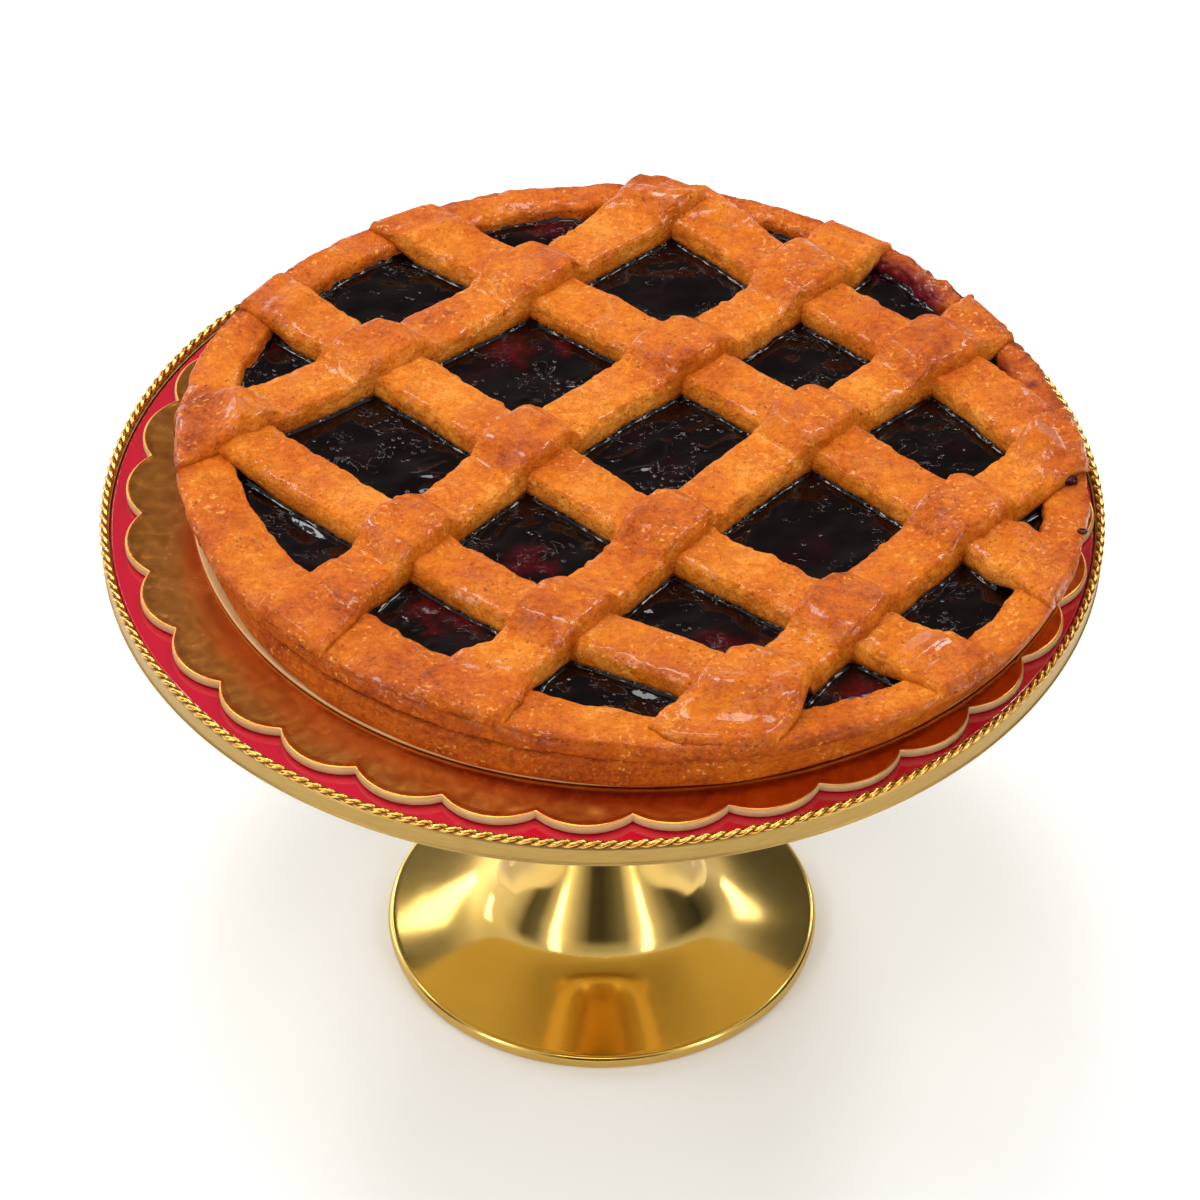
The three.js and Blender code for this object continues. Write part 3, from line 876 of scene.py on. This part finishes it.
def cherry_filling():
    """Jam: a square grid bent to a disc by x = u sqrt(1 - v^2/2), y = v sqrt(1 - u^2/2), with low lumps of
    fruit and folds between the strips. Its skirt runs down to a flat underside."""
    size = 300
    u, v = np.meshgrid(np.linspace(-1, 1, size), np.linspace(-1, 1, size), indexing="ij")
    dx, dy = u * np.sqrt(1 - v * v / 2), v * np.sqrt(1 - u * u / 2)
    wall = inner_edge(np.arctan2(dy, dx)) + 1
    x = PIE_CENTRE[0] + dx * wall
    y = PIE_CENTRE[1] + dy * wall
    place = points_at(x, y)
    clear = strip_clearance(x, y)
    lumps = 0.8 * noise(place, 19, 51) + 0.42 * noise(place, 8, 52)
    bent = place + 3 * noise(place, 10, 53)[..., None]
    folds = 0.5 * ease(0.72, 1, ridged(bent, 10, 54)) * ease(0.05, 0.5, noise(place, 20, 55))
    wander = [4 * layered(place, 7, seed, 2) for seed in (56, 57)]
    fruit = np.clip(sum(
        np.exp(-(np.hypot(x + wander[0] - fx, y + wander[1] - fy) / size) ** 3) for fx, fy, size in FRUIT
    ), 0, 1)
    height = (lumps + folds + 0.4 * fruit) * ease(0.8, 4, clear)
    top = np.stack([x, y, JAM_TOP - 1 + height], -1)
    ring = np.concatenate([top[:-1, 0], top[-1, :-1], top[:0:-1, -1], top[0, :0:-1]])
    number = np.arange(size * size).reshape(size, size)
    rim = np.concatenate([number[:-1, 0], number[-1, :-1], number[:0:-1, -1], number[0, :0:-1]])
    foot = ring * (1, 1, 0) + (0, 0, PIE_BOTTOM + FLOOR_THICKNESS + 0.3)
    points = np.concatenate([top.reshape(-1, 3), foot, foot.mean(0)[None]])
    below = size * size + np.arange(len(ring))
    skirt = np.stack([rim, below, np.roll(below, -1), np.roll(rim, -1)], 1)
    base = np.stack([np.full(len(ring), len(points) - 1), np.roll(below, -1), below], 1)
    quads = np.concatenate([grid_quads(size, size, wrap_columns=False), skirt])
    marks = {"fruit": np.concatenate([fruit.ravel(), np.zeros(len(ring) + 1)])}
    add_piece("cherry_jam", (points, quads, base), JAM, ["cherry_filling"], marks)


def lip_along(line, outward, seed):
    """Jam climbing a wall: a bar along the wall's foot, whose top falls as the square of the distance from
    the wall and whose height wavers, as (rows along the wall, points round the section)."""
    at = np.concatenate([line, np.zeros((len(line), 1))], 1)
    tall = np.clip(0.8 + 1.0 * noise(at, 2.6, seed), 0.15, 1.5)[:, None]
    out = np.array([-0.6, -0.2, 0.05, 0.25, 0.45, 0.65, 0.9, 1.15, 1.0, -0.6])
    share = np.clip(1 - (out + 0.2) / 1.35, 0, 1) ** 2
    z = JAM_TOP - 1 + tall * share - np.array([0] * 7 + [0.25, 1.5, 1.5])
    flat = line[:, None, :] + outward[:, None, :] * out[None, :, None]
    return np.concatenate([flat, z[..., None]], -1)


def jam_lips():
    """Lips of jam along both sides of every strip and along the crust's inner wall."""
    grids = []
    for number, (widths, points) in enumerate(STRIPS.values()):
        line, along = middle_line(points)
        length = along[-1 - PAST_ENDS]
        s = np.arange(0, length, 0.7)
        middle = on_line(s, along, line)
        distance, _, inner, _ = from_centre(middle[:, 0], middle[:, 1])
        s, middle = s[distance < inner - 2], middle[distance < inner - 2]
        tangent = unit(np.gradient(middle, axis=0))
        for way in (1, -1):
            half = strip_width(widths, s, length) / 2 + side_waver(s, way, 100 + 20 * number)
            outward = np.stack([-tangent[:, 1], tangent[:, 0]], -1) * way
            grid = lip_along(middle + outward * half[:, None], outward, 300 + 2 * number + way)
            grids.append(grid if way > 0 else grid[::-1])
    turn = np.arange(0, 2 * np.pi, 0.006)
    outward = -np.stack([np.cos(turn), np.sin(turn)], -1)
    wall = np.array(PIE_CENTRE) - outward * (inner_edge(turn)[:, None] - 0.7)
    grids.append(lip_along(wall, outward, 340))
    skins = [capped(grid) for grid in grids]
    starts = np.cumsum([0] + [len(points) for points, _, _ in skins])
    points, quads, ends = (
        np.concatenate([skin[part] + (start if part else 0) for skin, start in zip(skins, starts)])
        for part in range(3)
    )
    marks = {"fruit": np.zeros(len(points))}
    add_piece("jam_lips", (points, quads, ends), JAM, (), marks)


# ---- lattice ----
# Small things on single strips: strip, place, size, height, and the radius of the ring that it makes
# (nought for a lump or a dent).
SPOTS = (
    ("strip_upper_4", (104.3, -28.9), 0.7, 0.5, 1.7), ("strip_upper_4", (36, -92), 5, 2.2, 0),
    ("strip_upper_3", (-16, -74), 0.9, 0.5, 8), ("strip_upper_3", (-11, -90), 4, 0.9, 0),
    ("strip_lower_2", (68, -93), 3.2, 1.3, 0), ("strip_lower_2", (76, -89), 3, -1.6, 0),
    ("strip_upper_2", (-44, -22), 0.8, -0.5, 0), ("strip_upper_1", (-104, 22), 4, 0.7, 0),
)


def marks_on(name, grid):
    """Height of a strip's own lumps, dents and rings: bells round a place or round a circle about it."""
    height = np.zeros(grid.shape[:-1])
    for strip, (x, y), size, rise, ring in SPOTS:
        if strip == name:
            away = np.hypot(grid[..., 0] - x, grid[..., 1] - y) - ring
            height = height + rise * np.exp(-((away / size) ** 2))
    return height


def trimmed_ends(line, along, side, half, past=14):
    """Where each long column of a strip meets the rim's outer edge, going out from its middle, but not
    farther than a little past its last points."""
    tangent = unit(np.gradient(line, axis=0))
    x = line[:, :1] - tangent[:, 1:] * side * half[:, None]
    y = line[:, 1:] + tangent[:, :1] * side * half[:, None]
    distance, _, _, outer = from_centre(x, y)
    beyond = distance > outer - 0.4
    beyond[0], beyond[-1] = True, True
    middle = len(line) // 2
    first = middle - np.argmax(beyond[middle::-1], axis=0)
    last = middle + np.argmax(beyond[middle:], axis=0)
    return np.maximum(along[first], -past), np.minimum(along[last], along[-1 - PAST_ENDS] + past)


def lattice_strip(name, widths, points, upper, seed):
    """A strip of dough: at distance s along its middle line, the section at angle a lies v = (cos a)^0.27
    half widths to the side and w = (sin a)^0.58 of the way from its underside to its top, which makes it
    flat with steep sides; on the rim w is raised to 0.5 again, which makes them crisper. An upper strip's
    top rises where it lies over a lower one, and its underside a little later."""
    line, along = middle_line(points)
    length = along[-1 - PAST_ENDS]
    tops = np.linspace(0, np.pi, 46)
    unders = np.linspace(np.pi, 2 * np.pi, 10)[1:-1]
    across = np.sign(np.cos(tops)) * np.abs(np.cos(tops)) ** SQUARE_SIDES
    v = np.concatenate([across, np.cos(unders) * 0.98])
    w = np.concatenate([np.clip(np.sin(tops), 0, 1) ** FLAT_TOP, unders * 0])[None, :]
    start, end = trimmed_ends(line, along, v[None, :], strip_width(widths, along, length) / 2)
    torn = 0.6 * noise(points_at(v * 12, 50.0 * seed), 5, seed + 12)
    share = np.linspace(0, 1, int(length) + 40)[:, None]
    s = mix(start + torn, end + torn, share)
    middle = on_line(s, along, line)
    tangent = unit(on_line(s + 0.5, along, line) - middle)
    half = strip_width(widths, s, length) / 2
    side = v * (half + np.where(v > 0, side_waver(s, 1, seed), side_waver(s, -1, seed)))
    if upper:
        side = side * (1 + 0.1 * over_lower(middle[..., 0], middle[..., 1], 7, 2))
    x = middle[..., 0] - tangent[..., 1] * side
    y = middle[..., 1] + tangent[..., 0] * side
    rim = rim_share(x, y)
    w = w ** mix(1, CRISP_ON_RIM, rim)
    bed = bed_height(x, y)
    top = bed + mix(STRIP_THICKNESS, STRIP_ON_RIM, rim)
    under = bed - 0.6
    crossing = np.zeros(x.shape)
    if upper:
        crossing = over_lower(x, y, 2.2, 7)
        rise = mix(CROSSING_RISE, 0.45 * CROSSING_RISE, rim)
        top = top + crossing * rise
        under = under + over_lower(x, y, 3.5, 0.5) * rise
    to_end = np.minimum(s - s[:1], s[-1:] - s)
    rounding = (1 - (1 - np.clip(to_end / 1.8, 0, 1)) ** 2.6) ** (1 / 2.6)
    grid = np.stack([x, y, under + w * (top - under) * rounding], -1)
    normal = grid_normals(grid)
    flank = ease(0.12, 0.4, w) * ease(0.97, 0.8, w) * (1 - rim)
    flutes = 0.75 * noise(points_at(s, np.sign(v) * 40 + 7.0 * seed), 2.9, seed + 6)
    flutes = flutes * ease(-0.4, 0.3, noise(points_at(s, 3.0 * seed), 22, seed + 7))
    lip = 0.3 * np.exp(-(((w - 0.93) / 0.05) ** 2)) * ease(-0.2, 0.4, noise(grid, 8, seed + 8))
    relief = (crust_relief(grid, seed + 4) + lip) * ease(0.2, 0.6, w) + flutes * flank
    fold = np.exp(-(((crossing - 0.07) / 0.06) ** 2)) * (1 - rim)
    relief = relief + (marks_on(name, grid) - 0.45 * fold) * ease(0.2, 0.6, w)
    grid = grid + normal * relief[..., None]
    sides = 1 - ease(0.6, 0.95, w)
    bake = 0.36 + 0.14 * rim + 0.08 * crossing - 0.2 * sides - 0.1 * fold
    # Painted light and shade: the flutes' crests are made paler and their grooves darker.
    bake = bake - 0.3 * flutes * flank + 0.16 * relief + 0.16 * noise(grid, 22, seed + 9)
    glaze = (1 - 0.5 * sides) * (0.6 + 0.6 * noise(grid, 13, seed + 10)) + 0.25 * crossing
    marks = grid_marks(grid, bake=bake, glaze=glaze, stain=0.0, creased=1 - sides)
    add_piece(name.replace("strip", "dough"), capped(grid), CRUST, [name], marks)


# ---- drops ----
# Beads of jam that boiled over onto the rim: place, and half sizes.
BEADS = (
    ((138.4, -12.6), (2.4, 1.7, 1.7)), ((135.4, -13), (1.6, 1.3, 1.1)), ((140.8, -35.4), (1.7, 1.3, 0.8)),
)


def jam_beads():
    """Drops: balls squashed to three half sizes, a little lumpy, sunk by a third into the crust."""
    turn = np.linspace(0, 2 * np.pi, 32, endpoint=False)[None, :]
    rise = np.linspace(0.02, np.pi - 0.02, 18)[:, None]
    ball = points_at(np.sin(rise) * np.cos(turn), np.sin(rise) * np.sin(turn), np.cos(rise))
    for number, ((x, y), sizes) in enumerate(BEADS):
        level = float(bed_height(np.array([x]), np.array([y]))[0]) + sizes[2] * 0.35
        lumpy = ball * (1 + 0.12 * noise(ball * 2 + number * 5, 1.3, 90)[..., None])
        grid = lumpy * sizes + (x, y, level)
        marks = grid_marks(grid, fruit=0.8)
        add_piece(f"jam_bead_{number + 1}", capped(grid), JAM, (), marks)


# ---- building ----
def place_camera():
    data = bpy.data.cameras.new("camera")
    data.lens = CAMERA_LENS
    data.sensor_width = SENSOR
    data.clip_start, data.clip_end = 0.05, 20
    camera = bpy.data.objects.new("camera", data)
    bpy.context.scene.collection.objects.link(camera)
    at, aim = np.array(CAMERA_AT), np.array(CAMERA_AIM)
    camera.location = at * MM
    pitch = math.atan2(aim[1] - at[1], at[2] - aim[2])
    camera.rotation_euler = (pitch, 0, 0)
    bpy.context.scene.camera = camera


# Light panels: name, place and size in metres, and power.
PANELS = (
    ("top", (-0.15, 0.45, 1.75), (0.7, 0.45), 9.5),
    ("top_left", (-0.75, 0.65, 1.5), (0.36, 0.36), 5.6),
    ("top_right", (0.75, 0.65, 1.5), (0.36, 0.36), 5.6),
    ("front", (-0.2, -1.15, 1.9), (0.8, 0.5), 4),
    ("back_left", (-0.52, 0.98, 0.75), (0.1, 0.4), 0.6),
    ("back_left_low", (-0.85, 0.75, 0.6), (0.12, 0.5), 0.9),
    ("back_right", (0.6, 0.95, 0.7), (0.1, 0.4), 0.6),
    ("tall_left", (-1.0, -0.75, 0.6), (0.24, 1.1), 3.4),
    ("tall_right", (1.0, -0.8, 0.6), (0.24, 1.1), 3.2),
)
HIGH_PANEL = 1.0
AIM_ON_PIE, AIM_ON_STAND = (0, 0, 0.15), (0, 0, 0.1)


def soft_panel(name, at, size, power):
    """A light panel. It shines along -Z, so it is turned to its aim: high panels to the pie, low ones to
    the stand."""
    data = bpy.data.lights.new(name, "AREA")
    data.shape = "RECTANGLE"
    data.size, data.size_y = size
    data.energy = power
    light = bpy.data.objects.new(name, data)
    bpy.context.scene.collection.objects.link(light)
    light.location = at
    step = np.array(AIM_ON_PIE if at[2] > HIGH_PANEL else AIM_ON_STAND, float) - at
    level = math.hypot(step[0], step[1])
    light.rotation_euler = (math.atan2(level, -step[2]), 0, math.atan2(step[0], -step[1]) + math.pi)


# What the dome is like: brightness by height, and a dark patch round the direction that level wet surfaces
# mirror into the camera.
DOME_HEIGHTS = ((0.0, 1.1), (0.3, 1.0), (0.62, 0.85), (0.95, 0.9))
DARK_TOWARDS = (0, 0.77, 0.638)
DARK_FROM, DARK_FULL = 0.88, 0.95
DARK_LEVEL = 0.15
# Bright and dark uprights near the horizon: direction in degrees to the right of the viewer's, brightness,
# and the heights where they fade out.
UPRIGHTS_UP_TO = (0.5, 0.8)
UPRIGHTS = (
    (-180, 1.3), (-165, 1.6), (-150, 2.3), (-135, 1.3), (-115, 1.1), (-100, 0.6), (-90, 0.12), (-75, 0.2),
    (-62, 0.9), (-50, 2.0), (-38, 1.0), (-28, 0.5), (-14, 0.08), (0, 0.06), (14, 0.14), (28, 0.3), (40, 1.2),
    (50, 1.9), (62, 0.9), (75, 0.4), (90, 0.12), (112, 0.04), (128, 0.2), (150, 0.9), (165, 0.7), (180, 1.3),
)


def soft_dome():
    """Light from the sky, in levels of grey, and its dark patch."""
    world = bpy.data.worlds.new("soft_dome")
    bpy.context.scene.world = world
    world.use_nodes = True
    sky = Sheet(world.node_tree, "Generated")
    split = sky.node("ShaderNodeSeparateXYZ", {}, {0: sky.place}).outputs
    x, y, z = (Number(sky, socket) for socket in split)
    turn = x.math("ARCTAN2", x, y * -1).ranged(-math.pi, math.pi, 0, 1)
    uprights = sky.ramp(turn, [(0.5 + way / 360, level) for way, level in UPRIGHTS])
    above = sky.ramp(z, DOME_HEIGHTS)
    inputs = {0: sky.place, 1: DARK_TOWARDS}
    near = sky.number("ShaderNodeVectorMath", {"operation": "DOT_PRODUCT"}, inputs, "Value")
    background = world.node_tree.nodes["Background"].inputs
    sky.feed(background["Color"], sky.blend(z.band(*UPRIGHTS_UP_TO), uprights, above))
    sky.feed(background["Strength"], near.ranged(DARK_FROM, DARK_FULL, 1, DARK_LEVEL, "SMOOTHSTEP"))


def studio():
    """A pale floor, a soft dome, and soft panels, mostly from above."""
    half = 6.0
    corners = [(-half, -half, 0), (half, -half, 0), (half, half, 0), (-half, half, 0)]
    floor_mesh = bpy.data.meshes.new("floor")
    floor_mesh.from_pydata(corners, [], [(0, 1, 2, 3)])
    pale = Finish("pale_floor", Roughness=0.8)
    paint = pale.blend(pale.grain(300), (0.93, 0.93, 0.93), (0.95, 0.95, 0.95))
    floor_mesh.materials.append(pale.finish(Base_Color=paint))
    floor = bpy.data.objects.new("floor", floor_mesh)
    bpy.context.scene.collection.objects.link(floor)
    soft_dome()
    for panel in PANELS:
        soft_panel(*panel)
    view = bpy.context.scene.view_settings
    view.view_transform = "Standard"
    view.exposure = 0.0


place_camera()
stand_foot()
stand_plate()
enamel_disc()
rope_ring()
scalloped_board()
round_card()
crust_shell()
cherry_filling()
jam_lips()
jam_beads()
for number, (name, (widths, points)) in enumerate(STRIPS.items()):
    lattice_strip(name, widths, points, name in UPPER_STRIPS, 100 + 20 * number)
studio()
